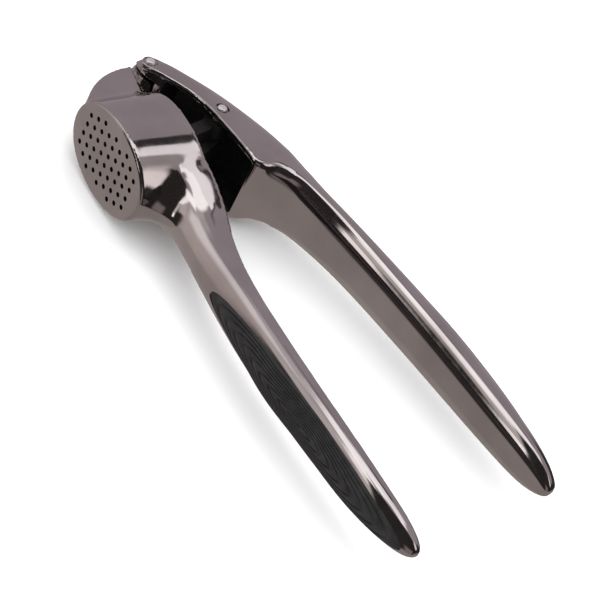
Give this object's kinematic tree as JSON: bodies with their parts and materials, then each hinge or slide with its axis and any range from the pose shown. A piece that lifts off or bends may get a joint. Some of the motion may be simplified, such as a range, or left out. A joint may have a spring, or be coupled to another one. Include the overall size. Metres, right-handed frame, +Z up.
{
  "type": "garlic press",
  "caption": "Hinged hand press with an oval perforated chamber, a channel-shaped upper handle that carries a swinging plunger, and ribbed rubber inlays in the handles.",
  "frame": {"origin": "middle of the press's outline, on the surface that it lies on", "axes": "+X along the lower handle from the hinge to its end, +Y from the sieve towards the upper handle, +Z up along the hinge pin"},
  "size_m": [0.1772, 0.0738, 0.0268],
  "materials": {
    "lower_handle": "polished dark nickel plate",
    "upper_handle": "polished dark nickel plate",
    "plunger": "dark nickel plate",
    "hinge_pin": "bright polished steel",
    "plunger_pin": "bright polished steel",
    "lower_grip": "matt black",
    "upper_grip": "matt black"
  },
  "bodies": {
    "lower": {"lower_handle": "lower_handle", "lower_grip": "lower_grip"},
    "upper": {"upper_handle": "upper_handle", "upper_grip": "upper_grip", "hinge_pin": "hinge_pin", "plunger_pin": "plunger_pin"},
    "plunger": {"plunger": "plunger"}
  },
  "joints": [
    {"name": "handle_hinge", "type": "hinge", "parent": "lower", "child": "upper", "pos_m": [-0.08425, -0.01053, 0.0134], "axis": [0, 0, 1], "range_deg": [-16, 74]},
    {"name": "plunger_pivot", "type": "hinge", "parent": "upper", "child": "plunger", "pos_m": [-0.0616, 0.00012, 0.0134], "axis": [0, 0, 1], "range_deg": [-29.7, 6.5]}
  ],
  "couplings": [
    {"joint": "plunger_pivot", "follows": "handle_hinge", "ratio": -0.4}
  ]
}
